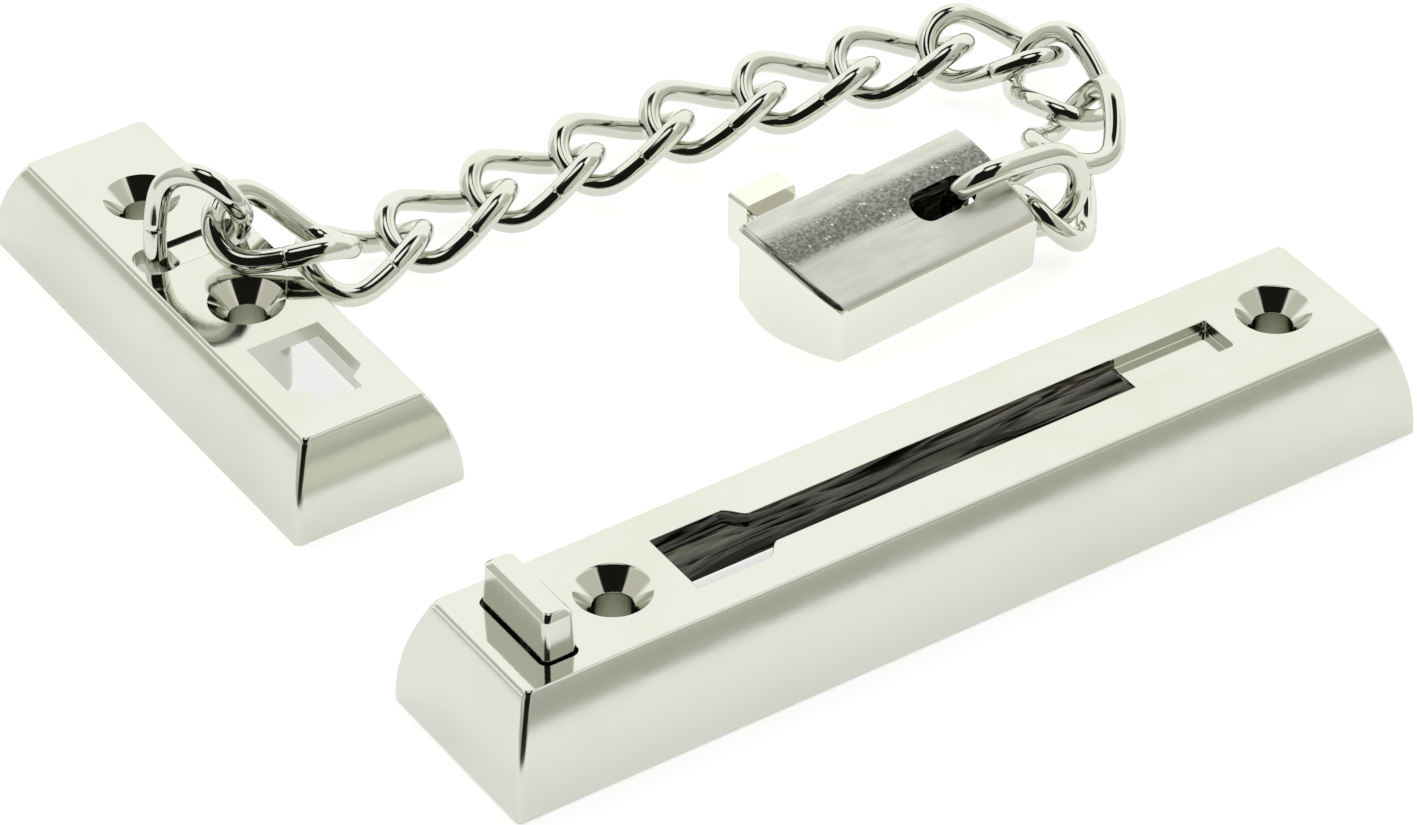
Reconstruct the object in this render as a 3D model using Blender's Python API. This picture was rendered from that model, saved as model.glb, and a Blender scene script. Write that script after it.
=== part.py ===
"""Door chain guard: guide rail, anchor plate, fourteen twisted curb links and a slider.

Run with: blender --background --python part.py
Lengths in the design are millimetres and become metres where a mesh is made. +Z is up, +X runs along
the guide rail, and the pieces lie on z = 0. The origin is under the middle of the whole object.
"""

from math import cos, pi, radians, sin, sqrt

import bmesh
import bpy
from mathutils import Matrix, Vector

MM = 0.001
OVERCUT = 1.0  # how far a cutter stands out past what it cuts
OVERLAP = 0.5  # how far a joined shape reaches into its neighbour
SMOOTH_BELOW = radians(35)  # edges that turn less than this are shaded smooth

NICKEL_COLOUR = (0.80, 0.80, 0.75)
NICKEL_ROUGHNESS = 0.12
WIRE_COLOUR = (0.78, 0.78, 0.73)
WIRE_ROUGHNESS = 0.15

# Both plates and the slider belong to one family of hollow castings: every side bulges outwards from
# the outer face down to the base, along an arc that ends upright at the base.
WALL = 2.0
FACE_FILLET = 0.8
PLAN_CORNER = 0.8
CAVITY_CORNER = 0.6
FILLET_SHARE = 0.6  # the share of the face fillet that the last flare ring leaves to the fillet rings
SCREW_HEAD = 8.9
SCREW_BORE = 4.5
BOSS = 9.6

RAIL_FACE = (113.2, 18.4)
RAIL_HEIGHT = 14.2
RAIL_FLARE = 3.4
RAIL_SCREWS = (-39.8, 48.5)
ENTRY_X = (-32.0, -23.0)
ENTRY_HALF = 4.7
TRACK_END = 28.3
TRACK_HALF = 2.7
ENTRY_BLEND = 2.5
RECESS_END = 40.9
RECESS_DEPTH = 1.4
RECESS_CORNER = 0.4
STOP_X = (-52.5, -48.3)
STOP_WIDTH = 12.8
STOP_HEIGHT = 5.8
STOP_DRAFT = 0.25
STOP_BEVEL = 0.6
STOP_CORNER = 0.8

ANCHOR_FACE = (62.1, 15.5)
ANCHOR_HEIGHT = 11.5
ANCHOR_FLARE = 3.35
ANCHOR_SCREWS = (-17.9, 5.75)
SOCKET_X = (13.6, 22.7)
SOCKET_HALF = 4.65
SOCKET_END = 26.4
SOCKET_BLEND = 1.9
BRIDGE_X = -6.5
MOUTH_HALF = 2.6
MOUTH_Y = (2.2, 7.1)
MOUTH_CORNER = 1.9
GROOVE_HALF = 2.4
GROOVE_DEPTH = 0.5
ANCHOR_CENTRE = (-44.5, 74.2)
ANCHOR_HEADING = -90.0

WIRE = 2.8
LINK_LENGTH = 16.3  # between the wire's centres at the two ends
LINK_HALF_WIDTH = 4.85
LINK_TWIST = -32.0  # each end is turned this far about the link's long axis, the two ends opposite ways
LAST_TWIST = -16.0  # the link that runs through the slider is turned less
LINK_SIDES = 12
LINK_STEPS = 32

# Where each link lies: its middle, then its heading from +X, rise, and roll about its own long axis.
CHAIN_LAY = (
    (-44.1, 79.8, 14.7, -82.0, 75.5, -31.0),
    (-36.0, 74.8, 13.5, -27.0, -19.0, -1.0),
    (-24.2, 76.8, 4.5, 13.5, -9.0, -2.5),
    (-12.0, 78.0, 4.0, 6.0, 0.0, -5.0),
    (0.5, 78.9, 4.0, 2.0, 0.0, -5.0),
    (13.0, 79.0, 4.0, -1.0, 0.0, -5.0),
    (25.5, 78.3, 4.0, -5.0, 0.0, -5.0),
    (37.9, 76.8, 4.0, -9.0, 0.0, -5.0),
    (50.2, 74.7, 4.0, -11.0, 0.0, -5.0),
    (60.7, 70.2, 3.8, -36.5, -4.0, 0.0),
    (63.0, 60.1, 4.1, -101.5, -1.0, 12.0),
    (57.5, 49.2, 5.9, -133.5, 8.0, 20.0),
    (48.5, 42.7, 3.5, -116.5, 9.0, -12.5),
    (42.1, 40.0, 8.55, 169.7, 11.05, 82.2),
)

# The slider is drawn as it lies: X along its length, Y from its outer face towards its base, Z up.
SLIDER_LENGTH = 29.4
SLIDER_DEPTH = 14.4
SLIDER_LEAN = 0.079  # how far the outer face leans out for each millimetre up
# Depth, height of the upper side, height of the lower side, how far the end bulges.
SLIDER_SIDES = (
    (0.0, 7.6, 0.35, 0.3),
    (0.3, 8.1, 0.0, 0.0),
    (2.3, 9.3, 0.0, -1.0),
    (4.6, 10.4, 0.0, -1.8),
    (8.0, 11.8, 0.0, -2.6),
    (11.0, 12.5, 0.4, -2.9),
    (14.4, 12.8, 1.9, -2.9),
)
SLIDER_EDGE = 0.8  # the round along the slider's long edges
PAD_END = 12.4
PAD_BLEND = 2.5
PAD_STEP = 0.9
HOLLOW_START = 13.4
HOLLOW_END = 11.9
CHAIN_HOLE_X = (15.9, 24.8)
CHAIN_HOLE_DEPTH = 5.8
CHAIN_HOLE_HALF = 2.0
HOLE_FLAT = 0.05  # what is left straight between the hole's two corner rounds
FOOT_X = (0.3, 7.5)
FOOT_DEPTH = (16.9, 20.4)
FOOT_HEIGHT = (5.7, 12.7)
NECK_HEIGHT = (6.8, 11.6)
NECK_INSET = 0.2
FOOT_CORNER = 0.6
SLIDER_CORNER = (12.6, 33.6)
SLIDER_HEADING = 4.9


def clear_scene():
    for obj in list(bpy.data.objects):
        bpy.data.objects.remove(obj, do_unlink=True)


def finish_material(name, colour, roughness):
    material = bpy.data.materials.new(name)
    material.use_nodes = True
    shader = material.node_tree.nodes["Principled BSDF"]
    shader.inputs["Base Color"].default_value = (*colour, 1.0)
    shader.inputs["Metallic"].default_value = 1.0
    shader.inputs["Roughness"].default_value = roughness
    material.diffuse_color = (*colour, 1.0)
    return material


def mesh_object(name, bm, material=None, cutter=False):
    """A new object from a bmesh that was built in millimetres."""
    bmesh.ops.scale(bm, vec=(MM, MM, MM), verts=bm.verts)
    bmesh.ops.recalc_face_normals(bm, faces=bm.faces)
    mesh = bpy.data.meshes.new(name)
    bm.to_mesh(mesh)
    bm.free()
    obj = bpy.data.objects.new(name, mesh)
    bpy.context.scene.collection.objects.link(obj)
    if material:
        mesh.materials.append(material)
    if cutter:
        obj.hide_render = True
        obj.display_type = "WIRE"
    else:
        mesh.shade_smooth()
        mesh.set_sharp_from_angle(angle=SMOOTH_BELOW)
    return obj


def boolean(target, tool, operation):
    """Cut or join one shape with a hidden tool that rides on the same parent."""
    tool.hide_render = True
    tool.display_type = "WIRE"
    tool.hide_set(True)
    modifier = target.modifiers.new(f"{operation.lower()} {tool.name}", "BOOLEAN")
    modifier.operation = operation
    modifier.solver = "EXACT"
    modifier.object = tool
    tool.parent = target


def rounded_outline(x0, x1, y0, y1, radius, steps=3):
    """Counterclockwise points of a rectangle with round corners."""
    corners = ((x1, y0, -90), (x1, y1, 0), (x0, y1, 90), (x0, y0, 180))
    points = []
    for x, y, start in corners:
        cx = x - radius if x == x1 else x + radius
        cy = y - radius if y == y1 else y + radius
        for step in range(steps + 1):
            angle = radians(start + 90 * step / steps)
            points.append((cx + radius * cos(angle), cy + radius * sin(angle)))
    return points


def loft(rings, material=None, name="shape", cutter=False):
    """A closed solid through rings of (x, y, z) points that all have the same number of points."""
    bm = bmesh.new()
    loops = [[bm.verts.new(point) for point in ring] for ring in rings]
    for low, high in zip(loops, loops[1:]):
        for i in range(len(low)):
            j = (i + 1) % len(low)
            bm.faces.new((low[i], low[j], high[j], high[i]))
    bm.faces.new(list(reversed(loops[0])))
    bm.faces.new(loops[-1])
    return mesh_object(name, bm, material, cutter)


def prism(name, outline, z0, z1):
    """A cutter with straight walls."""
    return loft([[(x, y, z) for x, y in outline] for z in (z0, z1)], name=name, cutter=True)


def flare_at(height, full_height, flare):
    """How far a side has drawn in from its base at a height, on an arc that starts upright."""
    radius = (full_height**2 + flare**2) / (2 * flare)
    return radius - sqrt(radius**2 - height**2)


def casting_rings(bounds_at, height, flare, fillet, levels=5):
    """Rings of a flared casting: bounds_at(draw) gives its plan box for a given draw-in."""
    rings = []
    for level in range(levels + 1):
        z = (height - fillet) * level / levels
        rings.append((z, flare_at(z, height, flare)))
    base_draw = rings[-1][1]
    for step in (1, 2, 3):
        angle = radians(30 * step)
        drop = fillet * (1 - sin(angle))
        across = (flare - base_draw) * (1 - FILLET_SHARE) + fillet * (1 - cos(angle)) * FILLET_SHARE
        rings.append((height - drop, base_draw + across))
    return [
        [(x, y, z) for x, y in rounded_outline(*bounds_at(draw), PLAN_CORNER)]
        for z, draw in rings
    ]


def plate_bounds(face, flare):
    """The plan box of a plate that is symmetrical about its middle."""

    def bounds(draw):
        half_x = face[0] / 2 + flare - draw
        half_y = face[1] / 2 + flare - draw
        return -half_x, half_x, -half_y, half_y

    return bounds


def casting(name, face, height, flare, material):
    """A flared hollow plate, open underneath."""
    bounds = plate_bounds(face, flare)
    body = loft(casting_rings(bounds, height, flare, FACE_FILLET), material, name)
    cavity_height = height - WALL
    cavity = []
    for level in range(6):
        z = -OVERCUT + (cavity_height + OVERCUT) * level / 5
        draw = flare_at(max(z, 0.0), height, flare) + WALL
        cavity.append([(x, y, z) for x, y in rounded_outline(*bounds(draw), CAVITY_CORNER)])
    boolean(body, loft(cavity, name=f"{name}_cavity", cutter=True), "DIFFERENCE")
    return body


def turned(name, profile, x, y, sides=24):
    """A solid of revolution about a vertical axis, from (radius, z) pairs going up."""
    rings = []
    for radius, z in profile:
        angles = [2 * pi * i / sides for i in range(sides)]
        rings.append([(x + radius * cos(a), y + radius * sin(a), z) for a in angles])
    return loft(rings, name=name, cutter=True)


def screw_hole(body, x, height):
    """A round boss from the outer face to the base, then its countersunk bore."""
    boss = [(BOSS / 2, 0.0), (BOSS / 2, height - WALL / 2)]
    boolean(body, turned(f"{body.name}_boss_{x:.0f}", boss, x, 0.0), "UNION")
    sink = (SCREW_HEAD - SCREW_BORE) / 2
    bore = [
        (SCREW_BORE / 2, -OVERCUT),
        (SCREW_BORE / 2, height - sink),
        (SCREW_HEAD / 2, height),
        (SCREW_HEAD / 2 + OVERCUT, height + OVERCUT),
    ]
    boolean(body, turned(f"{body.name}_bore_{x:.0f}", bore, x, 0.0), "DIFFERENCE")


def s_curve(start, end, steps=6):
    """Points from one corner to another along a smooth S."""
    points = []
    for step in range(steps + 1):
        t = step / steps
        ease = t * t * (3 - 2 * t)
        points.append((start[0] + (end[0] - start[0]) * t, start[1] + (end[1] - start[1]) * ease))
    return points


def keyhole(entry, half_wide, blend, end, half_narrow):
    """The outline of a wide entrance that runs into a narrower track."""
    lower = s_curve((entry[1], -half_wide), (entry[1] + blend, -half_narrow))
    upper = [(x, -y) for x, y in reversed(lower)]
    right = [(end, -half_narrow), (end, half_narrow)]
    return [(entry[0], -half_wide)] + lower + right + upper + [(entry[0], half_wide)]


def place(obj, x, y, z=0.0, heading=0.0):
    obj.location = (x * MM, y * MM, z * MM)
    obj.rotation_euler = (0.0, 0.0, radians(heading))


def build_rail(nickel):
    rail = casting("guide_rail", RAIL_FACE, RAIL_HEIGHT, RAIL_FLARE, nickel)
    for x in RAIL_SCREWS:
        screw_hole(rail, x, RAIL_HEIGHT)
    track = keyhole(ENTRY_X, ENTRY_HALF, ENTRY_BLEND, TRACK_END, TRACK_HALF)
    low, high = RAIL_HEIGHT - WALL - OVERCUT, RAIL_HEIGHT + OVERCUT
    boolean(rail, prism("rail_track", track, low, high), "DIFFERENCE")
    recess = rounded_outline(TRACK_END - OVERCUT, RECESS_END, -TRACK_HALF, TRACK_HALF, RECESS_CORNER)
    boolean(rail, prism("rail_recess", recess, RAIL_HEIGHT - RECESS_DEPTH, high), "DIFFERENCE")
    rings = []
    for z, draft in (
        (-OVERLAP, 0.0),
        (STOP_HEIGHT - STOP_BEVEL, STOP_DRAFT),
        (STOP_HEIGHT, STOP_DRAFT + STOP_BEVEL),
    ):
        outline = rounded_outline(
            STOP_X[0] + draft, STOP_X[1] - draft, draft - STOP_WIDTH / 2, STOP_WIDTH / 2 - draft, STOP_CORNER
        )
        rings.append([(x, y, RAIL_HEIGHT + z) for x, y in outline])
    boolean(rail, loft(rings, name="rail_stop", cutter=True), "UNION")
    return rail


def build_anchor(nickel):
    anchor = casting("anchor_plate", ANCHOR_FACE, ANCHOR_HEIGHT, ANCHOR_FLARE, nickel)
    for x in ANCHOR_SCREWS:
        screw_hole(anchor, x, ANCHOR_HEIGHT)
    low, high = ANCHOR_HEIGHT - WALL - OVERCUT, ANCHOR_HEIGHT + OVERCUT
    socket = keyhole(SOCKET_X, SOCKET_HALF, SOCKET_BLEND, SOCKET_END, TRACK_HALF)
    boolean(anchor, prism("anchor_socket", socket, low, high), "DIFFERENCE")
    for side in (-1, 1):
        near, far = sorted((side * MOUTH_Y[0], side * MOUTH_Y[1]))
        mouth = rounded_outline(BRIDGE_X - MOUTH_HALF, BRIDGE_X + MOUTH_HALF, near, far, MOUTH_CORNER, steps=4)
        boolean(anchor, prism(f"anchor_mouth_{side}", mouth, low, high), "DIFFERENCE")
    groove = []
    radius = (GROOVE_HALF**2 + GROOVE_DEPTH**2) / (2 * GROOVE_DEPTH)
    for y in (-MOUTH_Y[0] - OVERCUT, MOUTH_Y[0] + OVERCUT):
        ring = []
        for step in range(9):
            x = GROOVE_HALF * (step / 4 - 1)
            z = ANCHOR_HEIGHT - GROOVE_DEPTH + radius - sqrt(radius**2 - x * x)
            ring.append((BRIDGE_X + x, y, z))
        ring += [(BRIDGE_X + GROOVE_HALF, y, high), (BRIDGE_X - GROOVE_HALF, y, high)]
        groove.append(ring)
    boolean(anchor, loft(groove, name="anchor_groove", cutter=True), "DIFFERENCE")
    place(anchor, *ANCHOR_CENTRE, heading=ANCHOR_HEADING)
    return anchor


def tube(name, centres, radius, sides, material):
    """A closed loop of wire through its centre points."""
    bm = bmesh.new()
    count = len(centres)
    middle = sum(centres, Vector()) / count
    rings = []
    for i, centre in enumerate(centres):
        along = (centres[(i + 1) % count] - centres[i - 1]).normalized()
        outward = centre - middle
        outward = (outward - along * outward.dot(along)).normalized()
        side = along.cross(outward)
        ring = []
        for k in range(sides):
            angle = 2 * pi * (k + 0.5) / sides
            ring.append(bm.verts.new(centre + radius * (cos(angle) * outward + sin(angle) * side)))
        rings.append(ring)
    for i, ring in enumerate(rings):
        following = rings[(i + 1) % count]
        for k in range(sides):
            j = (k + 1) % sides
            bm.faces.new((ring[k], ring[j], following[j], following[k]))
    return mesh_object(name, bm, material)


def link_centres(twist):
    """The twisted centre line of one curb link, along X and centred on the origin."""
    straight = LINK_LENGTH - 2 * LINK_HALF_WIDTH
    half_turn = pi * LINK_HALF_WIDTH
    around = 2 * (straight + half_turn)
    centres = []
    for i in range(LINK_STEPS):
        s = around * i / LINK_STEPS
        side = -1 if s < straight + half_turn else 1
        s %= straight + half_turn
        if s < straight:
            x, y = s - straight / 2, -LINK_HALF_WIDTH
        else:
            angle = (s - straight) / LINK_HALF_WIDTH
            x = straight / 2 + LINK_HALF_WIDTH * sin(angle)
            y = -LINK_HALF_WIDTH * cos(angle)
        x, y = -side * x, -side * y
        turn = radians(twist) * sin(pi * x / LINK_LENGTH)
        centres.append(Vector((x, y * cos(turn), y * sin(turn))))
    return centres


def lay_rotation(heading, rise, roll):
    """A frame whose X axis has the heading and rise, rolled about itself."""
    return (
        Matrix.Rotation(radians(heading), 3, "Z")
        @ Matrix.Rotation(-radians(rise), 3, "Y")
        @ Matrix.Rotation(radians(roll), 3, "X")
    )


def bow_ends(number):
    """The outermost points of a link's two bows, in millimetres, the one towards the anchor first."""
    x, y, z, *turn = CHAIN_LAY[number - 1]
    reach = lay_rotation(*turn) @ Vector((LINK_LENGTH / 2, 0.0, 0.0))
    return Vector((x, y, z)) - reach, Vector((x, y, z)) + reach


def build_chain(steel):
    links = []
    for number, (x, y, z, heading, rise, roll) in enumerate(CHAIN_LAY, 1):
        twist = LINK_TWIST if number < len(CHAIN_LAY) else LAST_TWIST
        link = tube(f"chain_link_{number:02d}", link_centres(twist), WIRE / 2, LINK_SIDES, steel)
        turn = lay_rotation(heading, rise, roll).to_4x4()
        link.matrix_world = Matrix.Translation(Vector((x, y, z)) * MM) @ turn
        links.append(link)
    return links


def slider_ring(depth, x0, x1, low, high, radius):
    """One section across the slider, leaning with its outer face and upright at its base."""
    lean = SLIDER_LEAN * (1 - depth / SLIDER_DEPTH)
    return [(x, depth - lean * z, z) for x, z in rounded_outline(x0, x1, low, high, radius)]


def build_slider(nickel):
    body, hollow = [], []
    for depth, high, low, left in SLIDER_SIDES:
        body.append(slider_ring(depth, left, SLIDER_LENGTH, low, high, SLIDER_EDGE))
    slider = loft(body, nickel, "slider")
    for depth, high, low, _ in SLIDER_SIDES[2:]:
        far = min(depth, HOLLOW_END)
        open_end = SLIDER_LENGTH + OVERCUT
        hollow.append(slider_ring(far, HOLLOW_START, open_end, low + WALL, high - WALL, SLIDER_EDGE))
    boolean(slider, loft(hollow, name="slider_hollow", cutter=True), "DIFFERENCE")
    step, end = SLIDER_DEPTH - PAD_STEP, SLIDER_LENGTH + OVERCUT
    back = s_curve((PAD_END, SLIDER_DEPTH + OVERCUT), (PAD_END + PAD_BLEND, step))
    back += [(end, step), (end, SLIDER_DEPTH + OVERCUT)]
    boolean(slider, prism("slider_step", back, -OVERCUT, SLIDER_DEPTH), "DIFFERENCE")
    hole = rounded_outline(
        *CHAIN_HOLE_X,
        CHAIN_HOLE_DEPTH - CHAIN_HOLE_HALF,
        CHAIN_HOLE_DEPTH + CHAIN_HOLE_HALF,
        CHAIN_HOLE_HALF - HOLE_FLAT,
        steps=6,
    )
    boolean(slider, prism("slider_hole", hole, SLIDER_DEPTH / 2, SLIDER_DEPTH), "DIFFERENCE")
    for name, low_high, near, far in (
        ("neck", NECK_HEIGHT, SLIDER_DEPTH - OVERLAP, FOOT_DEPTH[0] + OVERLAP),
        ("foot", FOOT_HEIGHT, *FOOT_DEPTH),
    ):
        inset = NECK_INSET if name == "neck" else 0.0
        outline = rounded_outline(FOOT_X[0] + inset, FOOT_X[1] - inset, *low_high, FOOT_CORNER)
        rings = [[(x, y, z) for x, z in outline] for y in (near, far)]
        boolean(slider, loft(rings, name=f"slider_{name}", cutter=True), "UNION")
    place(slider, *SLIDER_CORNER, heading=SLIDER_HEADING)
    return slider


def hang(piece, point, carrier):
    """Let a piece turn on its carrier about an empty at a point given in millimetres."""
    hinge = bpy.data.objects.new(f"{piece.name}_hinge", None)
    bpy.context.scene.collection.objects.link(hinge)
    hinge.location = point * MM
    bpy.context.view_layer.update()
    for child, parent in ((hinge, carrier), (piece, hinge)):
        child.parent = parent
        child.matrix_parent_inverse = parent.matrix_world.inverted()


def hang_chain(anchor, links, slider):
    """Each link turns between its own bow and the one it hooks; the slider turns on the last bow."""
    carrier, point = anchor, None
    for number, link in enumerate(links, 1):
        near, far = bow_ends(number)
        hang(link, near if number == 1 else (point + near) / 2, carrier)
        carrier, point = link, far
    hang(slider, point, carrier)


def centre_on_origin(pieces):
    """Move everything so that the origin is under the middle of the whole object."""
    bpy.context.view_layer.update()
    graph = bpy.context.evaluated_depsgraph_get()
    points = []
    for obj in pieces:
        shape = obj.evaluated_get(graph)
        points += [shape.matrix_world @ v.co for v in shape.data.vertices]
    low = Vector([min(p[axis] for p in points) for axis in range(3)])
    high = Vector([max(p[axis] for p in points) for axis in range(3)])
    shift = Vector(((low.x + high.x) / 2, (low.y + high.y) / 2, low.z))
    frame = bpy.data.objects.new("door_chain_guard", None)
    bpy.context.scene.collection.objects.link(frame)
    frame.location = -shift
    for obj in pieces:
        if obj.parent is None:
            obj.parent = frame
    bpy.context.view_layer.update()


def main():
    clear_scene()
    nickel = finish_material("polished nickel plate", NICKEL_COLOUR, NICKEL_ROUGHNESS)
    steel = finish_material("nickel plated steel wire", WIRE_COLOUR, WIRE_ROUGHNESS)
    rail, anchor, slider = build_rail(nickel), build_anchor(nickel), build_slider(nickel)
    links = build_chain(steel)
    hang_chain(anchor, links, slider)
    centre_on_origin([rail, anchor, *links, slider])


main()
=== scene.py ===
"""Looks of the door chain guard: finer, polished nickel pieces in place of the plain CAD solids."""

from math import cos, hypot, pi, radians, sin, sqrt

import bmesh
import bpy
from mathutils import Matrix, Vector


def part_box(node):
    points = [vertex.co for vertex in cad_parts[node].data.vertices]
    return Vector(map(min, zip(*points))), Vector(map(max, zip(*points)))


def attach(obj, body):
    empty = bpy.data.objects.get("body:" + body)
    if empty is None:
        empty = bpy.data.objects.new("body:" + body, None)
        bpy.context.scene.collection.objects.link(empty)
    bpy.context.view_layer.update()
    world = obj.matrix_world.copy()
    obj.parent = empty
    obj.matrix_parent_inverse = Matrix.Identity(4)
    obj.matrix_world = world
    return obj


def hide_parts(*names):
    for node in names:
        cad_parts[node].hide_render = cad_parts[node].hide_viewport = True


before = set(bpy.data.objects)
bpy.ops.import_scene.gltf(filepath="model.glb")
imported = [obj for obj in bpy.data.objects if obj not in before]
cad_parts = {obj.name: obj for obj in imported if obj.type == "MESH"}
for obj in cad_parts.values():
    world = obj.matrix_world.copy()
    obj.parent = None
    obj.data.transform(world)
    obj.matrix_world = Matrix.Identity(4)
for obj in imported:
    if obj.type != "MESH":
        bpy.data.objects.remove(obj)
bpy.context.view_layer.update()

MM = 0.001
SLACK, HAIR, TOUCH = 0.1, 0.05, 0.02  # small distances in millimetres, for telling faces apart
UPRIGHT, LEVEL = 0.3, 0.9  # the upward part of an upright and of a level face's normal

# ---- sizes, in millimetres, as in the CAD ----
WALL = 2.0
FACE_FILLET = 0.8
PLAN_CORNER = 0.8
SCREW_HEAD = 8.9
SCREW_BORE = 4.5
BOSS = 9.6
EDGE = 0.22  # radius that polishing leaves on a cut edge
OVERCUT = 1.0  # how far a cutting shape reaches past what it cuts
OVERLAP = 0.5  # how far a joined shape reaches into what it joins
FILLET_SHARE = 0.6  # of the face's fillet in how far the side draws in, the flare has the rest
CAVITY_CORNER = 0.6
ROUND_SIDES = 72

RAIL_FACE = (113.2, 18.4)
RAIL_HEIGHT = 14.2
RAIL_FLARE = 3.4
RAIL_SCREWS = (-39.8, 48.5)
ENTRY_X = (-32.0, -23.0)
ENTRY_HALF = 4.7
TRACK_END = 28.3
TRACK_HALF = 2.7
ENTRY_BLEND = 2.5
RECESS_END = 40.9
RECESS_DEPTH = 1.4
RECESS_CORNER = 0.4
STOP_X = (-52.5, -48.3)
STOP_WIDTH = 12.8
STOP_HEIGHT = 5.8
STOP_DRAFT = 0.25
STOP_CORNER = 0.8
STOP_BEVEL = 0.6
STOP_GROOVE = 0.28  # the open seam round the stop's foot
STOP_SEAM_DEPTH = 0.8

ANCHOR_FACE = (62.1, 15.5)
ANCHOR_HEIGHT = 11.5
ANCHOR_FLARE = 3.35
ANCHOR_SCREWS = (-17.9, 5.75)
SOCKET_X = (13.6, 22.7)
SOCKET_HALF = 4.65
SOCKET_END = 26.4
SOCKET_BLEND = 1.9
BRIDGE_X = -6.5
MOUTH_HALF = 2.6
MOUTH_Y = (2.2, 7.1)
MOUTH_CORNER = 1.9
GROOVE_HALF = 2.4
GROOVE_DEPTH = 0.5
ANCHOR_CENTRE = (-44.5, 74.2)
ANCHOR_HEADING = -90.0

WIRE = 2.7  # a little under the CAD's, so that the rounder wire stays inside it
LINK_LENGTH = 16.3
LINK_HALF_WIDTH = 4.85
LINK_TWIST = -32.0
LAST_TWIST = -16.0
LINK_SIDES = 20
LINK_STEPS = 88
SEAM_HALF = 0.16  # the mark where the two ends of a link's wire meet
SEAM_DEPTH = 0.07

# Where each link lies, as in the CAD: its middle, then heading, rise and roll.
CHAIN_LAY = (
    (-44.1, 79.8, 14.7, -82.0, 75.5, -31.0),
    (-36.0, 74.8, 13.5, -27.0, -19.0, -1.0),
    (-24.2, 76.8, 4.5, 13.5, -9.0, -2.5),
    (-12.0, 78.0, 4.0, 6.0, 0.0, -5.0),
    (0.5, 78.9, 4.0, 2.0, 0.0, -5.0),
    (13.0, 79.0, 4.0, -1.0, 0.0, -5.0),
    (25.5, 78.3, 4.0, -5.0, 0.0, -5.0),
    (37.9, 76.8, 4.0, -9.0, 0.0, -5.0),
    (50.2, 74.7, 4.0, -11.0, 0.0, -5.0),
    (60.7, 70.2, 3.8, -36.5, -4.0, 0.0),
    (63.0, 60.1, 4.1, -101.5, -1.0, 12.0),
    (57.5, 49.2, 5.9, -133.5, 8.0, 20.0),
    (48.5, 42.7, 3.5, -116.5, 9.0, -12.5),
    (42.1, 40.0, 8.55, 169.7, 11.05, 82.2),
)

SLIDER_LENGTH = 29.4
SLIDER_DEPTH = 14.4
SLIDER_LEAN = 0.079
SLIDER_ROUND = 0.8
# Depth, height of the upper side, height of the lower side, how far the end bulges.
SLIDER_SIDES = (
    (0.0, 7.6, 0.35, 0.3),
    (0.3, 8.1, 0.0, 0.0),
    (2.3, 9.3, 0.0, -1.0),
    (4.6, 10.4, 0.0, -1.8),
    (8.0, 11.8, 0.0, -2.6),
    (11.0, 12.5, 0.4, -2.9),
    (14.4, 12.8, 1.9, -2.9),
)
PAD_END = 12.4
PAD_BLEND = 2.5
PAD_STEP = 0.9
HOLLOW_START = 13.4
HOLLOW_END = 11.9
HOLLOW_MIDDLE = 5.6  # a height between the hollow's floor and its ceiling
SLIDER_EDGE = 0.2
CHAIN_HOLE_X = (15.9, 24.8)
CHAIN_HOLE_DEPTH = 5.8
CHAIN_HOLE_HALF = 2.0
HOLE_FLAT = 0.05  # how much less than half its width the hole's corners are rounded
FOOT_X = (0.3, 7.5)
FOOT_DEPTH = (16.9, 20.4)
FOOT_HEIGHT = (5.7, 12.7)
FOOT_CORNER = 0.6
NECK_HEIGHT = (6.8, 11.6)
NECK_INSET = 0.2
SLIDER_CORNER = (12.6, 33.6)
SLIDER_HEADING = 4.9

# ---- camera, in millimetres from the rail's middle ----
CAMERA_PLACE = (-335.1, -459.7, 468.7)
CAMERA_HEADING = -33.78
CAMERA_DROP = 38.24
CAMERA_LENS = 170.0
CAMERA_REACH = 10.0

# ---- light ----
# Each pair of limits runs from where its ramp is 0 to where it is 1, as the share of a direction that
# points up, ahead of the camera, or to its side.
SKY = (1.265, 1.265, 1.235)  # a soft box behind the object and one overhead
BACK_BOX = (0.30, 0.50)
TOP_BOX = (0.66, 0.80)
WALLS = (0.72, 0.70, 0.64)
HORIZON = (0.52, 0.515, 0.465)  # low down on the camera's side
HORIZON_RISE = (0.40, 0.05)
HORIZON_SIDE = (0.35, -0.10)
# An unlit gap overhead, wider on the camera's side and there down to the floor.
DARK = (0.012, 0.011, 0.009)
NEAR_SIDE = (0.10, -0.15)
GAP_HALF = (0.31, 0.55)
GAP_SOFT = 0.03
GAP_FAR = 0.58  # how far ahead the gap ends, for each unit up
GAP_FAR_SOFT = 0.04
OVERHEAD_LAMP = (0.985, 0.965)  # the lit patch straight above, which the gap leaves free
BACKDROP = (1.0, 1.0, 1.0)  # what the camera sees past the floor's edge
FLOOR_TONES = ((0.58, 0.58, 0.58), (0.62, 0.62, 0.62))
FLOOR_GLOW = 0.74
FLOOR_EDGE = 150.0  # from the origin towards the camera, where the table ends
FLOOR_FAR = 500.0
FLOOR_HALF = 400.0
FLOOR_DROP = 0.1

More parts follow.
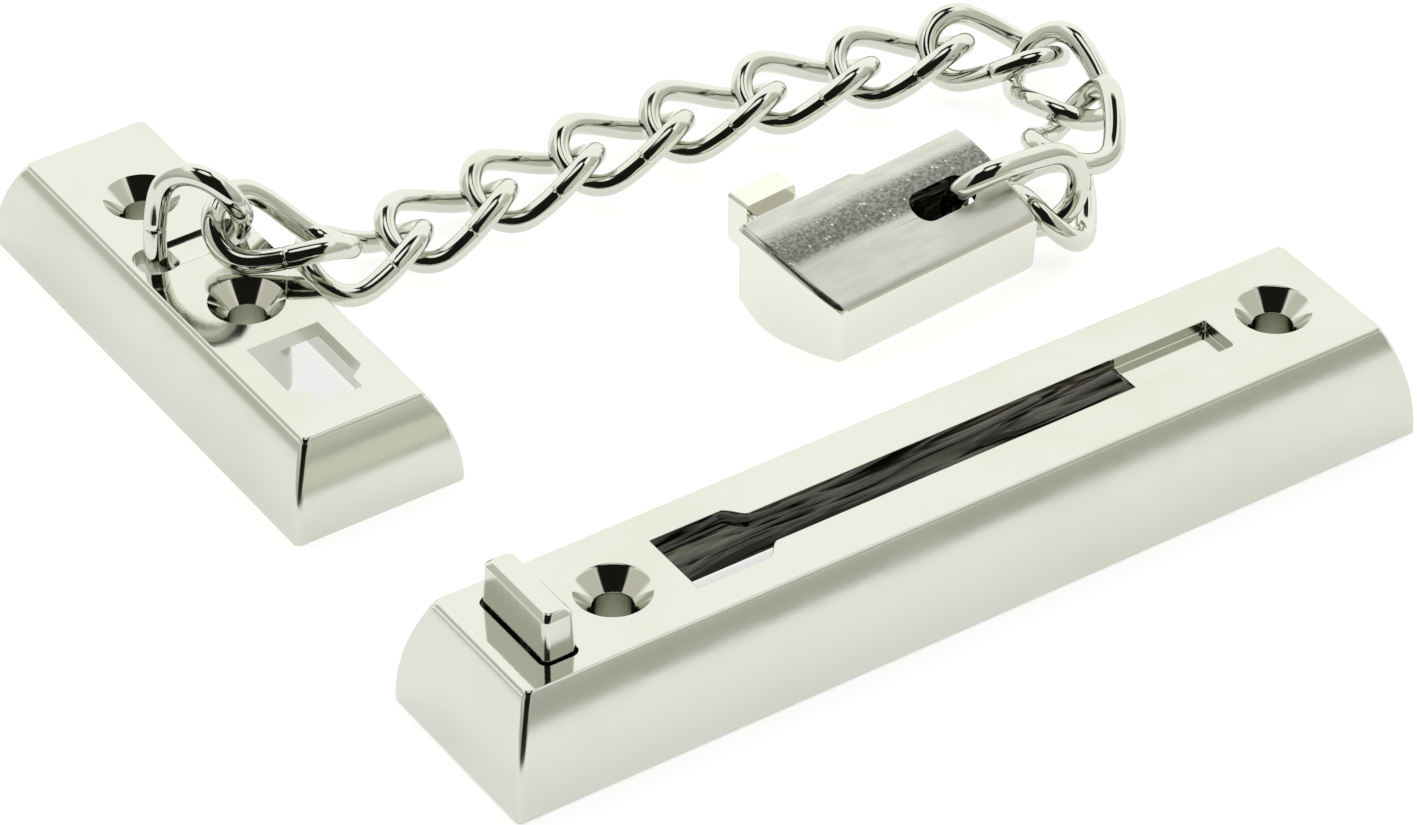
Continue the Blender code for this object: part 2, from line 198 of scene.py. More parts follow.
# ---- surfaces: scales per metre, heights and depths in metres ----
# Each pair of limits is the part of a pattern's range over which its ramp runs.
NICKEL = (0.655, 0.675, 0.605)
NOISE_LIMITS = (0.3, 0.7)
HAZE_SCALE = 90.0
HAZE_LIMITS = (0.35, 0.7)
STAIN_SCALE = 38.0
STAIN_LIMITS = (0.42, 0.72)
STAIN_TINT = (0.965, 0.95, 0.93)
SPECK_SCALE = 2600.0
SPECK_LIMITS = (0.55, 0.75)
SPECK_HAZE = 0.6
SPECK_BUMP = 0.04
SPECK_HEIGHT = 0.00005
STEEP_LIMITS = (0.50, 0.62)
RIPPLE_SCALE = 150.0
RIPPLE_HEIGHT = 0.0004

# Painted shade: a near-black colour, darker still in its furrows, for a casting's cavity, track walls,
# stop seam, and the slider's hollow and chain hole.
PAINTED_SHADE_CAST = (0.17, 0.165, 0.125)
FURROW_SHARE = 0.15
CAST_ROUGHNESS = (0.18, 0.34)
RIDGE_STRETCH = (0.22, 1.0, 1.6)
RIDGE_SCALE = 210.0
RIDGE_WANDER = 0.7
RIDGE_LIMITS = (0.42, 0.66)
RIDGE_BUMP = 0.9
RIDGE_HEIGHT = 0.003

SLIDER_NICKEL = (0.77, 0.78, 0.70)
SLIDER_ROUGHNESS = (0.10, 0.16)
SKIN = ((0.50, 0.51, 0.46), (0.64, 0.65, 0.59))
SKIN_LIMITS = (0.45, 0.7)
SKIN_ROUGHNESS = (0.10, 0.2)
SKIN_GRAIN = 0.3
BODY_END = (0.0142, 0.0150)
BAND = ((0.16, 0.16, 0.14), (0.36, 0.36, 0.32))  # the darker, coarser strip along the upper side
BAND_START = (0.0052, 0.0066)
BAND_END = (0.0098, 0.0116)
BAND_EDGE_SCALE = 160.0
BAND_WANDER = 0.004
STREAK_STRETCH = (0.16, 1.0, 1.0)
STREAK_SCALE = 900.0
STREAK_BUMP = 0.12
STREAK_HEIGHT = 0.0002
GRAIN_SCALE = 2300.0
GRAIN_LIMITS = (0.35, 0.65)
GRAIN_BUMP = 0.2
GRAIN_HEIGHT = 0.00006
SPOT_SCALE = 900.0
SPOT_LIMITS = (0.10, 0.22)

# ---- where the CAD pieces are ----
rail_low, rail_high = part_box("guide_rail")
RAIL_PLACE = Vector(((rail_low[0] + rail_high[0]) / 2, (rail_low[1] + rail_high[1]) / 2, rail_low[2]))


# ---- mesh tools ----
def mesh_object(name, bm):
    """A new object from a bmesh that was built in millimetres."""
    bmesh.ops.scale(bm, vec=(MM, MM, MM), verts=bm.verts)
    bmesh.ops.recalc_face_normals(bm, faces=bm.faces)
    mesh = bpy.data.meshes.new(name)
    bm.to_mesh(mesh)
    bm.free()
    mesh.shade_smooth()
    obj = bpy.data.objects.new(name, mesh)
    bpy.context.scene.collection.objects.link(obj)
    return obj


def apply_modifiers(obj):
    """Replaces the object's mesh by what its modifiers make of it."""
    bpy.context.view_layer.update()
    graph = bpy.context.evaluated_depsgraph_get()
    mesh = bpy.data.meshes.new_from_object(obj.evaluated_get(graph))
    obj.modifiers.clear()
    obj.data = mesh


def carve(obj, steps):
    """Cuts or joins one shape after another, and removes the shapes that were used."""
    for tool, operation in steps:
        modifier = obj.modifiers.new(operation, "BOOLEAN")
        modifier.operation = operation
        modifier.solver = "EXACT"
        modifier.object = tool
    apply_modifiers(obj)
    for tool, _ in steps:
        bpy.data.objects.remove(tool, do_unlink=True)


def polish_edges(obj, width=EDGE, angle=32.0):
    """Rounds the cut edges and keeps the flats flat in the shading."""
    bevel = obj.modifiers.new("edges", "BEVEL")
    bevel.width = width * MM
    bevel.segments = 3
    bevel.limit_method = "ANGLE"
    bevel.angle_limit = radians(angle)
    bevel.use_clamp_overlap = True
    bevel.miter_outer = "MITER_ARC"
    normals = obj.modifiers.new("flat shading", "WEIGHTED_NORMAL")
    normals.keep_sharp = True
    normals.weight = 80
    apply_modifiers(obj)


def rounded_outline(x0, x1, y0, y1, radius, steps=6):
    """Counterclockwise points of a rectangle with round corners."""
    corners = ((x1, y0, -90), (x1, y1, 0), (x0, y1, 90), (x0, y0, 180))
    points = []
    for x, y, start in corners:
        cx = x - radius if x == x1 else x + radius
        cy = y - radius if y == y1 else y + radius
        for step in range(steps + 1):
            angle = radians(start + 90 * step / steps)
            points.append((cx + radius * cos(angle), cy + radius * sin(angle)))
    return points


def loft(name, rings):
    """A closed solid through rings of (x, y, z) points that all have the same number of points."""
    bm = bmesh.new()
    loops = [[bm.verts.new(point) for point in ring] for ring in rings]
    for low, high in zip(loops, loops[1:]):
        for i in range(len(low)):
            j = (i + 1) % len(low)
            bm.faces.new((low[i], low[j], high[j], high[i]))
    bm.faces.new(list(reversed(loops[0])))
    bm.faces.new(loops[-1])
    return mesh_object(name, bm)


def prism(outline, z0, z1):
    """A straight solid between two heights."""
    return loft("tool", [[(x, y, z) for x, y in outline] for z in (z0, z1)])


def turned(profile, x, y, sides=ROUND_SIDES):
    """A solid of revolution about a vertical axis, from (radius, z) pairs going up."""
    rings = []
    for radius, z in profile:
        angles = [2 * pi * i / sides for i in range(sides)]
        rings.append([(x + radius * cos(a), y + radius * sin(a), z) for a in angles])
    return loft("tool", rings)


def s_curve(start, end, steps=14):
    """Points from one corner to another along a smooth S."""
    points = []
    for step in range(steps + 1):
        t = step / steps
        ease = t * t * (3 - 2 * t)
        points.append((start[0] + (end[0] - start[0]) * t, start[1] + (end[1] - start[1]) * ease))
    return points


def keyhole(entry, half_wide, blend, end, half_narrow):
    """The outline of a wide entrance that runs into a narrower track."""
    lower = s_curve((entry[1], -half_wide), (entry[1] + blend, -half_narrow))
    upper = [(x, -y) for x, y in reversed(lower)]
    right = [(end, -half_narrow), (end, half_narrow)]
    return [(entry[0], -half_wide)] + lower + right + upper + [(entry[0], half_wide)]


# ---- the castings ----
def flare_at(height, full_height, flare):
    """How far a side has drawn in from its base at a height, on an arc that starts upright."""
    radius = (full_height**2 + flare**2) / (2 * flare)
    return radius - sqrt(radius**2 - height**2)


def plate_bounds(face, flare, draw):
    """Low and high X, then low and high Y, of a plate's side that has drawn in so far."""
    half_x = face[0] / 2 + flare - draw
    half_y = face[1] / 2 + flare - draw
    return -half_x, half_x, -half_y, half_y


def casting(name, face, height, flare):
    """A flared hollow plate, open underneath."""
    levels, fillet_steps, cavity_levels = 14, 6, 8
    draws = []
    for level in range(levels + 1):
        z = (height - FACE_FILLET) * level / levels
        draws.append((z, flare_at(z, height, flare)))
    side_draw = draws[-1][1]
    for step in range(1, fillet_steps + 1):
        angle = radians(90 / fillet_steps * step)
        from_flare = (flare - side_draw) * (1 - FILLET_SHARE)
        from_fillet = FACE_FILLET * (1 - cos(angle)) * FILLET_SHARE
        draws.append((height - FACE_FILLET * (1 - sin(angle)), side_draw + (from_flare + from_fillet)))
    outer = []
    for z, draw in draws:
        outline = rounded_outline(*plate_bounds(face, flare, draw), PLAN_CORNER)
        outer.append([(x, y, z) for x, y in outline])
    cavity = []
    for level in range(cavity_levels + 1):
        z = -OVERCUT + (height - WALL + OVERCUT) * level / cavity_levels
        draw = flare_at(max(z, 0.0), height, flare) + WALL
        outline = rounded_outline(*plate_bounds(face, flare, draw), CAVITY_CORNER)
        cavity.append([(x, y, z) for x, y in outline])
    return loft(name, outer), [(loft("tool", cavity), "DIFFERENCE")]


def screw_hole(x, height):
    """A round boss from the outer face to the base, then its countersunk bore."""
    sink = (SCREW_HEAD - SCREW_BORE) / 2
    boss = [(BOSS / 2, 0.0), (BOSS / 2, height - WALL / 2)]
    bore = [
        (SCREW_BORE / 2, -OVERCUT),
        (SCREW_BORE / 2, height - sink),
        (SCREW_HEAD / 2, height),
        (SCREW_HEAD / 2 + OVERCUT, height + OVERCUT),
    ]
    return [(turned(boss, x, 0.0), "UNION"), (turned(bore, x, 0.0), "DIFFERENCE")]


def settle(obj, matrix):
    """Moves the mesh itself into place, so that the object stays at the origin like the CAD's."""
    obj.data.transform(matrix)
    obj.data.update()


def mark_rail_painted_shade(obj):
    """Gives the rail's cavity, track walls and stop seam, but not its bores, the second material, which
    paints shade on them.
    """
    half_x, half_y = RAIL_FACE[0] / 2 + RAIL_FLARE - WALL, RAIL_FACE[1] / 2 + RAIL_FLARE - WALL
    for polygon in obj.data.polygons:
        x, y, z = polygon.center / MM
        draw = flare_at(max(z, 0.0), RAIL_HEIGHT, RAIL_FLARE) - SLACK - HAIR
        in_cavity = abs(x) < half_x - draw and abs(y) < half_y - draw and z < RAIL_HEIGHT - WALL + TOUCH
        in_bore = any(hypot(x - screw, y) < SCREW_BORE / 2 + HAIR for screw in RAIL_SCREWS)
        on_face = z > RAIL_HEIGHT - SLACK and polygon.normal.z > LEVEL
        is_wall = abs(polygon.normal.z) < UPRIGHT
        in_track = ENTRY_X[0] - SLACK < x < TRACK_END + SLACK and abs(y) < ENTRY_HALF + SLACK
        track_wall = in_track and is_wall and z > RAIL_HEIGHT - WALL - SLACK
        margin = 2 * STOP_GROOVE
        at_stop = STOP_X[0] - margin < x < STOP_X[1] + margin and abs(y) < STOP_WIDTH / 2 + margin
        in_seam = at_stop and RAIL_HEIGHT - STOP_SEAM_DEPTH - SLACK < z < RAIL_HEIGHT - TOUCH
        # These faces take the painted shade material.
        dark = (in_cavity and not in_bore) or (in_seam and not on_face) or track_wall
        polygon.material_index = int(dark)


def place(obj, x, y, heading=0.0):
    """Stands an object on the table, at millimetres from the rail's middle."""
    where = RAIL_PLACE + Vector((x, y, 0.0)) * MM
    settle(obj, Matrix.Translation(where) @ Matrix.Rotation(radians(heading), 4, "Z"))


def build_rail():
    """The long casting: track, recess, two screw holes, and the stop with the seam round its foot."""
    rail, steps = casting("polished_rail", RAIL_FACE, RAIL_HEIGHT, RAIL_FLARE)
    for x in RAIL_SCREWS:
        steps += screw_hole(x, RAIL_HEIGHT)
    low, high = RAIL_HEIGHT - WALL - OVERCUT, RAIL_HEIGHT + OVERCUT
    track = keyhole(ENTRY_X, ENTRY_HALF, ENTRY_BLEND, TRACK_END, TRACK_HALF)
    steps.append((prism(track, low, high), "DIFFERENCE"))
    recess = rounded_outline(TRACK_END - OVERCUT, RECESS_END, -TRACK_HALF, TRACK_HALF, RECESS_CORNER)
    steps.append((prism(recess, RAIL_HEIGHT - RECESS_DEPTH, high), "DIFFERENCE"))
    groove_x = STOP_X[0] - STOP_GROOVE, STOP_X[1] + STOP_GROOVE
    half = STOP_WIDTH / 2 + STOP_GROOVE
    groove = rounded_outline(*groove_x, -half, half, STOP_CORNER + STOP_GROOVE)
    steps.append((prism(groove, RAIL_HEIGHT - STOP_SEAM_DEPTH, high), "DIFFERENCE"))
    rings = []
    shoulder = (STOP_HEIGHT - STOP_BEVEL, STOP_DRAFT)
    for z, draft in ((-OVERCUT, 0.0), shoulder, (STOP_HEIGHT, STOP_DRAFT + STOP_BEVEL)):
        half = STOP_WIDTH / 2 - draft
        outline = rounded_outline(STOP_X[0] + draft, STOP_X[1] - draft, -half, half, STOP_CORNER)
        rings.append([(x, y, RAIL_HEIGHT + z) for x, y in outline])
    steps.append((loft("tool", rings), "UNION"))
    carve(rail, steps)
    mark_rail_painted_shade(rail)
    place(rail, 0.0, 0.0)
    polish_edges(rail)
    return rail


def build_anchor():
    """The short casting: socket, two screw holes, and two mouths with a grooved bridge between them."""
    anchor, steps = casting("polished_anchor", ANCHOR_FACE, ANCHOR_HEIGHT, ANCHOR_FLARE)
    for x in ANCHOR_SCREWS:
        steps += screw_hole(x, ANCHOR_HEIGHT)
    low, high = ANCHOR_HEIGHT - WALL - OVERCUT, ANCHOR_HEIGHT + OVERCUT
    socket = keyhole(SOCKET_X, SOCKET_HALF, SOCKET_BLEND, SOCKET_END, TRACK_HALF)
    steps.append((prism(socket, low, high), "DIFFERENCE"))
    for side in (-1, 1):
        near, far = sorted((side * MOUTH_Y[0], side * MOUTH_Y[1]))
        mouth_x = BRIDGE_X - MOUTH_HALF, BRIDGE_X + MOUTH_HALF
        mouth = rounded_outline(*mouth_x, near, far, MOUTH_CORNER, steps=8)
        steps.append((prism(mouth, low, high), "DIFFERENCE"))
    groove = []
    half_steps = 8
    radius = (GROOVE_HALF**2 + GROOVE_DEPTH**2) / (2 * GROOVE_DEPTH)
    for y in (-MOUTH_Y[0] - OVERCUT, MOUTH_Y[0] + OVERCUT):
        ring = []
        for step in range(2 * half_steps + 1):
            x = GROOVE_HALF * (step / half_steps - 1)
            z = ANCHOR_HEIGHT - GROOVE_DEPTH + radius - sqrt(radius**2 - x * x)
            ring.append((BRIDGE_X + x, y, z))
        ring += [(BRIDGE_X + GROOVE_HALF, y, high), (BRIDGE_X - GROOVE_HALF, y, high)]
        groove.append(ring)
    steps.append((loft("tool", groove), "DIFFERENCE"))
    carve(anchor, steps)
    place(anchor, *ANCHOR_CENTRE, ANCHOR_HEADING)
    polish_edges(anchor)
    return anchor


# ---- the chain ----
def wire_stations():
    """Distances round a link's centre line, closer together at its butt seam, with the wire's radius."""
    straight = LINK_LENGTH - 2 * LINK_HALF_WIDTH
    around = 2 * (straight + pi * LINK_HALF_WIDTH)
    seam = straight / 2
    stations = [(around * i / LINK_STEPS, WIRE / 2) for i in range(LINK_STEPS)]
    stations = [s for s in stations if abs(s[0] - seam) > 2 * SEAM_HALF]
    for offset, depth in ((-1.0, 0.0), (-0.5, 0.4), (0.0, 1.0), (0.5, 0.4), (1.0, 0.0)):
        stations.append((seam + offset * SEAM_HALF, WIRE / 2 - depth * SEAM_DEPTH))
    return sorted(stations)


def wire_point(s, twist):
    """A point of the twisted centre line of one curb link, along X and centred on the origin."""
    straight = LINK_LENGTH - 2 * LINK_HALF_WIDTH
    half_turn = pi * LINK_HALF_WIDTH
    side = -1 if s < straight + half_turn else 1
    s %= straight + half_turn
    if s < straight:
        x, y = s - straight / 2, -LINK_HALF_WIDTH
    else:
        angle = (s - straight) / LINK_HALF_WIDTH
        x = straight / 2 + LINK_HALF_WIDTH * sin(angle)
        y = -LINK_HALF_WIDTH * cos(angle)
    x, y = -side * x, -side * y
    turn = radians(twist) * sin(pi * x / LINK_LENGTH)
    return Vector((x, y * cos(turn), y * sin(turn)))


def build_link(number, lay):
    """One chain link: round wire along its twisted centre line, turned into its place."""
    x, y, z, heading, rise, roll = lay
    twist = LINK_TWIST if number < len(CHAIN_LAY) else LAST_TWIST
    stations = wire_stations()
    centres = [wire_point(s, twist) for s, _ in stations]
    bm = bmesh.new()
    rings = []
    for i, (_, radius) in enumerate(stations):
        along = (centres[(i + 1) % len(centres)] - centres[i - 1]).normalized()
        outward = (centres[i] - along * centres[i].dot(along)).normalized()
        side = along.cross(outward)
        ring = []
        for k in range(LINK_SIDES):
            angle = 2 * pi * (k + 0.5) / LINK_SIDES
            ring.append(bm.verts.new(centres[i] + radius * (cos(angle) * outward + sin(angle) * side)))
        rings.append(ring)
    for ring, following in zip(rings, rings[1:] + rings[:1]):
        for k in range(LINK_SIDES):
            j = (k + 1) % LINK_SIDES
            bm.faces.new((ring[k], ring[j], following[j], following[k]))
    link = mesh_object(f"polished_link_{number:02d}", bm)
    turn = (
        Matrix.Rotation(radians(heading), 4, "Z")
        @ Matrix.Rotation(-radians(rise), 4, "Y")
        @ Matrix.Rotation(radians(roll), 4, "X")
    )
    settle(link, Matrix.Translation(RAIL_PLACE + Vector((x, y, z)) * MM) @ turn)
    return link


# ---- the slider ----
def smooth_sides(spacing=0.6):
    """The slider's sections, filled in between the listed ones along curves that stay off the table."""
    rows = SLIDER_SIDES
    filled = []
    for i in range(len(rows) - 1):
        before, start = rows[max(i - 1, 0)], rows[i]
        end, after = rows[i + 1], rows[min(i + 2, len(rows) - 1)]
        count = max(1, round((end[0] - start[0]) / spacing))
        for step in range(count):
            t = step / count
            row = [start[0] + (end[0] - start[0]) * t]
            for k in (1, 2, 3):
                slope_0 = (end[k] - before[k]) / (end[0] - before[0]) * (end[0] - start[0])
                slope_1 = (after[k] - start[k]) / (after[0] - start[0]) * (end[0] - start[0])
                if i < 2:
                    slope_0 = slope_1 = end[k] - start[k]
                rise = 3 * t**2 - 2 * t**3
                curve = (1 - rise) * start[k] + rise * end[k]
                row.append(curve + (t**3 - 2 * t**2 + t) * slope_0 + (t**3 - t**2) * slope_1)
            row[2] = max(row[2], 0.0)
            filled.append(tuple(row))
    filled.append(rows[-1])
    return filled


def slider_ring(depth, x0, x1, low, high):
    """One section across the slider, leaning with its outer face and upright at its base."""
    lean = SLIDER_LEAN * (1 - depth / SLIDER_DEPTH)
    return [(x, depth - lean * z, z) for x, z in rounded_outline(x0, x1, low, high, SLIDER_ROUND)]


def mark_hollow_painted_shade(obj):
    """Gives the faces of the slider's hollow and of its chain hole the second material, which paints shade
    on them.
    """
    for polygon in obj.data.polygons:
        x, depth, z = polygon.center / MM
        along = HOLLOW_START - HAIR < x < SLIDER_LENGTH - HAIR
        across = WALL - SLACK < depth < HOLLOW_END + SLACK
        is_wall = abs(polygon.normal.z) <= UPRIGHT
        faces_in = (polygon.normal.z > 0.0) == (z < HOLLOW_MIDDLE)
        polygon.material_index = int(along and across and (is_wall or faces_in))


def build_slider():
    """The hollow slider: leaning body, raised pad, chain hole, and the foot on its neck."""
    sides = smooth_sides()
    past_end = SLIDER_LENGTH + OVERCUT
    body = [slider_ring(depth, left, SLIDER_LENGTH, low, high) for depth, high, low, left in sides]
    slider = loft("cast_slider", body)
    hollow = []
    for depth, high, low, _ in sides:
        if WALL < depth < HOLLOW_END:
            hollow.append(slider_ring(depth, HOLLOW_START, past_end, low + WALL, high - WALL))
    steps = [(loft("tool", hollow), "DIFFERENCE")]
    edge, back = SLIDER_DEPTH - PAD_STEP, SLIDER_DEPTH + OVERLAP
    step = s_curve((PAD_END, back), (PAD_END + PAD_BLEND, edge)) + [(past_end, edge), (past_end, back)]
    steps.append((prism(step, -OVERCUT, SLIDER_DEPTH), "DIFFERENCE"))
    hole_y = CHAIN_HOLE_DEPTH - CHAIN_HOLE_HALF, CHAIN_HOLE_DEPTH + CHAIN_HOLE_HALF
    hole = rounded_outline(*CHAIN_HOLE_X, *hole_y, CHAIN_HOLE_HALF - HOLE_FLAT, steps=12)
    steps.append((prism(hole, SLIDER_DEPTH / 2, SLIDER_DEPTH), "DIFFERENCE"))
    neck = (NECK_INSET, NECK_HEIGHT, (SLIDER_DEPTH - OVERLAP, FOOT_DEPTH[0] + OVERLAP))
    for inset, heights, depths in (neck, (0.0, FOOT_HEIGHT, FOOT_DEPTH)):
        outline = rounded_outline(FOOT_X[0] + inset, FOOT_X[1] - inset, *heights, FOOT_CORNER)
        steps.append((loft("tool", [[(x, y, z) for x, z in outline] for y in depths]), "UNION"))
    carve(slider, steps)
    mark_hollow_painted_shade(slider)
    place(slider, *SLIDER_CORNER, SLIDER_HEADING)
    polish_edges(slider, width=SLIDER_EDGE)
    return slider


# ---- materials ----
class Nodes:
    """Short names for building one node tree."""

    def __init__(self, tree):
        self.tree = tree

    def add(self, kind, inputs=None, **settings):
        node = self.tree.nodes.new(kind)
        for key, value in settings.items():
            setattr(node, key, value)
        for key, value in (inputs or {}).items():
            self.feed(node.inputs[key], value)
        return node

    def feed(self, socket, value):
        """Links a socket to another, or sets its value; a colour may be given without its alpha."""
        if isinstance(value, bpy.types.NodeSocket):
            self.tree.links.new(value, socket)
        elif socket.type == "RGBA":
            socket.default_value = (*value[:3], 1.0)
        else:
            socket.default_value = value

    def math(self, operation, a, b=0.0):
        return self.add("ShaderNodeMath", {0: a, 1: b}, operation=operation).outputs[0]

    def mix(self, factor, a, b):
        """Colour a where the factor is 0, colour b where it is 1."""
        node = self.add("ShaderNodeMix", data_type="RGBA")
        for socket, value in ((0, factor), (6, a), (7, b)):
            self.feed(node.inputs[socket], value)
        return node.outputs[2]

    def ramp(self, value, low, high, out_low=0.0, out_high=1.0):
        """A smooth step from out_low, where the value is at low, to out_high, where it is at high."""
        limits = {"From Min": low, "From Max": high, "To Min": out_low, "To Max": out_high}
        node = self.add("ShaderNodeMapRange", {"Value": value, **limits}, interpolation_type="SMOOTHSTEP")
        return node.outputs[0]

    def noise(self, scale, detail=2.0, roughness=0.5, vector=None, distortion=0.0):
        place = vector or self.coordinates("Object")
        inputs = {"Vector": place, "Scale": scale, "Detail": detail}
        node = self.add("ShaderNodeTexNoise", {**inputs, "Roughness": roughness, "Distortion": distortion})
        return node.outputs["Fac"]

    def coordinates(self, kind):
        return self.add("ShaderNodeTexCoord").outputs[kind]

    def part(self, vector, axis):
        return self.add("ShaderNodeSeparateXYZ", {"Vector": vector}).outputs[axis]

    def stretched(self, vector, scale):
        return self.add("ShaderNodeMapping", {"Vector": vector, "Scale": scale}).outputs["Vector"]

    def bump(self, height, strength, distance, below=None):
        node = self.add("ShaderNodeBump", {"Height": height, "Strength": strength, "Distance": distance})
        if below:
            self.feed(node.inputs["Normal"], below)
        return node.outputs["Normal"]


def new_material(name):
    """A material, the helper for its node tree, and its shader's inputs."""
    material = bpy.data.materials.new(name)
    material.use_nodes = True
    return material, Nodes(material.node_tree), material.node_tree.nodes["Principled BSDF"].inputs


def polished(name, roughness, haze, ripple, side=0.0):
    """Nickel plate on a polished base: patches of haze, faint stains, a ripple and fine polishing marks.

    Steep faces are rougher than level ones by `side`.
    """
    material, n, shader = new_material(name)
    specks = n.noise(SPECK_SCALE)
    stains = n.ramp(n.noise(STAIN_SCALE, 4.0, 0.6), *STAIN_LIMITS)
    warm = tuple(channel * share for channel, share in zip(NICKEL, STAIN_TINT))
    n.feed(shader["Base Color"], n.mix(stains, NICKEL, warm))
    patches = n.ramp(n.noise(HAZE_SCALE, 3.0), *HAZE_LIMITS, roughness, roughness + haze)
    fine = n.ramp(specks, *SPECK_LIMITS, 0.0, haze * SPECK_HAZE)
    steep = n.ramp(n.part(n.coordinates("Normal"), "Z"), *STEEP_LIMITS, side, 0.0)
    n.feed(shader["Roughness"], n.math("ADD", n.math("ADD", patches, fine), steep))
    shader["Metallic"].default_value = 1.0
    waves = n.bump(n.noise(RIPPLE_SCALE, 1.0), ripple, RIPPLE_HEIGHT)
    n.feed(shader["Normal"], n.bump(specks, SPECK_BUMP, SPECK_HEIGHT, waves))
    return material


def painted_shade_casting(name):
    """The ridged inside of a casting, with its near-black colour as painted shade for the hollows."""
    material, n, shader = new_material(name)
    drawn = n.stretched(n.coordinates("Object"), RIDGE_STRETCH)
    waves = n.noise(RIDGE_SCALE, 2.0, 0.5, drawn, RIDGE_WANDER)
    furrow = tuple(channel * FURROW_SHARE for channel in PAINTED_SHADE_CAST)
    n.feed(shader["Base Color"], n.mix(n.ramp(waves, *RIDGE_LIMITS), furrow, PAINTED_SHADE_CAST))
    n.feed(shader["Roughness"], n.ramp(waves, *NOISE_LIMITS, *CAST_ROUGHNESS))
    shader["Metallic"].default_value = 1.0
    n.feed(shader["Normal"], n.bump(waves, RIDGE_BUMP, RIDGE_HEIGHT))
    return material


def rough_cast(name):
    """The slider: polished outer face, and a grainy as-cast skin with drawn streaks on its upper side."""
    material, n, shader = new_material(name)
    mapping = {
        "Vector": n.coordinates("Object"),
        "Location": RAIL_PLACE + Vector((*SLIDER_CORNER, 0.0)) * MM,
        "Rotation": (0.0, 0.0, radians(SLIDER_HEADING)),
    }
    place = n.add("ShaderNodeMapping", mapping, vector_type="TEXTURE").outputs["Vector"]
    depth = n.part(place, "Y")
    drawn = n.stretched(place, STREAK_STRETCH)
    streaks = n.noise(STREAK_SCALE, 3.0, 0.6, drawn)
    grains = n.noise(GRAIN_SCALE, 3.0, 0.6, place)

    on_body = n.ramp(depth, *BODY_END, 1.0, 0.0)
    skin = n.math("MULTIPLY", n.ramp(n.part(n.coordinates("Normal"), "Z"), *SKIN_LIMITS), on_body)
    wander = n.math("SUBTRACT", n.noise(BAND_EDGE_SCALE, 2.0, 0.5, drawn), 0.5)
    band_at = n.math("ADD", depth, n.math("MULTIPLY", wander, BAND_WANDER))
    band = n.math("MULTIPLY", n.ramp(band_at, *BAND_START), n.ramp(band_at, *BAND_END, 1.0, 0.0))
    band = n.math("MULTIPLY", band, skin)
    spots = n.add("ShaderNodeTexVoronoi", {"Vector": place, "Scale": SPOT_SCALE}, feature="F1")
    bright = n.math("MULTIPLY", n.ramp(spots.outputs["Distance"], *SPOT_LIMITS, 1.0, 0.0), band)

    streak_level = n.ramp(streaks, *NOISE_LIMITS)
    skin_tone = n.mix(streak_level, *SKIN)
    band_tone = n.mix(n.ramp(grains, *GRAIN_LIMITS), *BAND)
    tone = n.mix(band, n.mix(skin, SLIDER_NICKEL, skin_tone), band_tone)
    n.feed(shader["Base Color"], n.mix(bright, tone, NICKEL))

    smooth = n.ramp(n.noise(HAZE_SCALE, 3.0, 0.5, place), *HAZE_LIMITS, *SLIDER_ROUGHNESS)
    grainy = n.math("MULTIPLY", skin, n.ramp(streaks, *NOISE_LIMITS, *SKIN_ROUGHNESS))
    n.feed(shader["Roughness"], n.math("ADD", smooth, grainy))
    shader["Metallic"].default_value = 1.0
    coarse = n.math("ADD", n.math("MULTIPLY", skin, SKIN_GRAIN), band)
    height = n.math("MULTIPLY", n.math("ADD", grains, bright), coarse)
    grain = n.bump(height, GRAIN_BUMP, GRAIN_HEIGHT)
    n.feed(shader["Normal"], n.bump(n.math("MULTIPLY", streaks, skin), STREAK_BUMP, STREAK_HEIGHT, grain))
    return material


def pale_floor(name):
    """A matt white table that glows a little, so that it stays white under the object."""
    material, n, shader = new_material(name)
    n.feed(shader["Base Color"], n.mix(n.ramp(n.noise(3.0), *NOISE_LIMITS), *FLOOR_TONES))
    shader["Roughness"].default_value = 0.9
    shader["Specular IOR Level"].default_value = 0.0
    shader["Emission Color"].default_value = (1.0, 1.0, 1.0, 1.0)
    shader["Emission Strength"].default_value = FLOOR_GLOW
    return material


# ---- floor, light and camera ----
def view_directions():
    """Level directions ahead of the camera and to its right."""
    heading = radians(CAMERA_HEADING)
    return Vector((-sin(heading), cos(heading), 0.0)), Vector((cos(heading), sin(heading), 0.0))


def build_floor():
    ahead, aside = view_directions()
    edges = ((-FLOOR_EDGE, -1), (-FLOOR_EDGE, 1), (FLOOR_FAR, 1), (FLOOR_FAR, -1))
    bm = bmesh.new()
    bm.faces.new([bm.verts.new(ahead * along + aside * side * FLOOR_HALF) for along, side in edges])
    floor = mesh_object("floor", bm)
    floor.data.materials.append(pale_floor("pale floor"))
    floor.location = (0.0, 0.0, rail_low[2] - FLOOR_DROP * MM)


